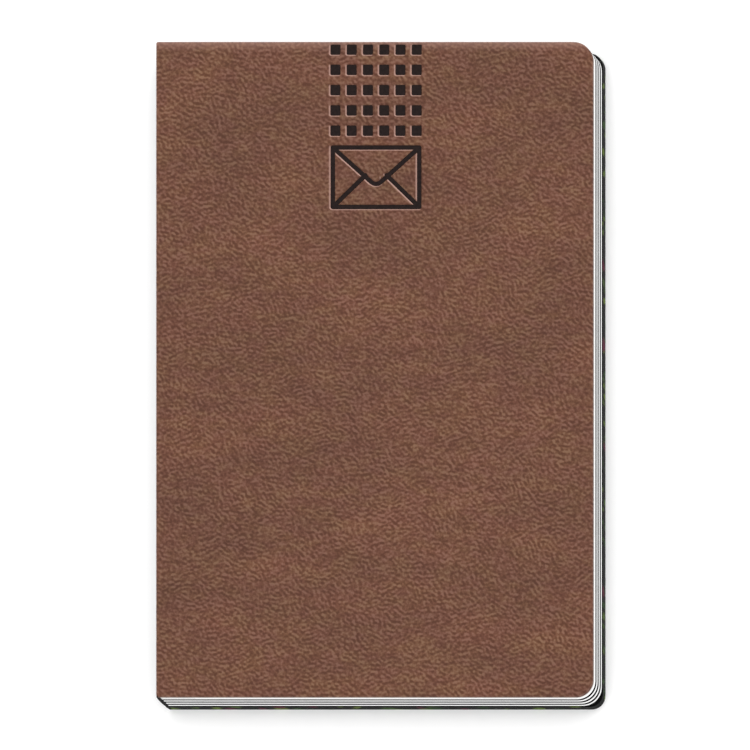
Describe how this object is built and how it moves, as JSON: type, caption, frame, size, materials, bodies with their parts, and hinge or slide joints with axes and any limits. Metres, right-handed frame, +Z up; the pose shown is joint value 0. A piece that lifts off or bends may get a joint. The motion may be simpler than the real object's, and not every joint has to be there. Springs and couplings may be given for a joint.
{
  "type": "stamp album",
  "caption": "Closed pocket stamp album: debossed leatherette front cover, card leaves with black pages and clear strips, black linen spine, dark printed back cover; leaves turn.",
  "frame": {"origin": "middle of the underside of the closed album, on the surface it lies on", "axes": "+Z up out of the front cover, +Y towards the head of the album, +X from the spine to the fore-edge"},
  "size_m": [0.1024, 0.153, 0.0095],
  "materials": {
    "leatherette": "semi-matt brown grained leatherette",
    "foil": "dark stamping foil",
    "board": "grey board",
    "lining": "matt white paper",
    "leaf_card": "matt white card",
    "page_paper": "matt black paper",
    "strip_film": "clear glossy film",
    "linen": "black book cloth",
    "print": "satin paper with a dark leaf and flower print"
  },
  "bodies": {
    "back_cover": {"back_board": "board", "back_linen": "linen", "back_lining": "lining", "back_print": "print"},
    "leaf_4": {"leaf_4_back_face": "page_paper", "leaf_4_back_strips": "strip_film", "leaf_4_card": "leaf_card", "leaf_4_front_face": "page_paper", "leaf_4_front_strips": "strip_film", "leaf_4_linen": "linen"},
    "leaf_3": {"leaf_3_back_face": "page_paper", "leaf_3_back_strips": "strip_film", "leaf_3_card": "leaf_card", "leaf_3_front_face": "page_paper", "leaf_3_front_strips": "strip_film", "leaf_3_linen": "linen"},
    "leaf_2": {"leaf_2_back_face": "page_paper", "leaf_2_back_strips": "strip_film", "leaf_2_card": "leaf_card", "leaf_2_front_face": "page_paper", "leaf_2_front_strips": "strip_film", "leaf_2_linen": "linen"},
    "leaf_1": {"front_flyleaf": "lining", "leaf_1_back_face": "page_paper", "leaf_1_back_strips": "strip_film", "leaf_1_card": "leaf_card", "leaf_1_linen": "linen"},
    "front_cover": {"foil_envelope": "foil", "foil_squares": "foil", "front_board": "board", "front_leatherette": "leatherette", "front_linen": "linen", "front_lining": "lining"}
  },
  "joints": [
    {"name": "leaf_4_turn", "type": "hinge", "parent": "back_cover", "child": "leaf_4", "pos_m": [-0.05147, 0, 0.00475], "axis": [0, -1, 0], "range_deg": [0, 179.9]},
    {"name": "leaf_3_turn", "type": "hinge", "parent": "leaf_4", "child": "leaf_3", "pos_m": [-0.05147, 0, 0.00475], "axis": [0, -1, 0], "range_deg": [0, 179.9]},
    {"name": "leaf_2_turn", "type": "hinge", "parent": "leaf_3", "child": "leaf_2", "pos_m": [-0.05147, 0, 0.00475], "axis": [0, -1, 0], "range_deg": [0, 179.9]},
    {"name": "leaf_1_turn", "type": "hinge", "parent": "leaf_2", "child": "leaf_1", "pos_m": [-0.05147, 0, 0.00475], "axis": [0, -1, 0], "range_deg": [0, 179.9]},
    {"name": "front_cover_turn", "type": "hinge", "parent": "leaf_1", "child": "front_cover", "pos_m": [-0.05147, 0, 0.00475], "axis": [0, -1, 0], "range_deg": [0, 179.9]}
  ]
}
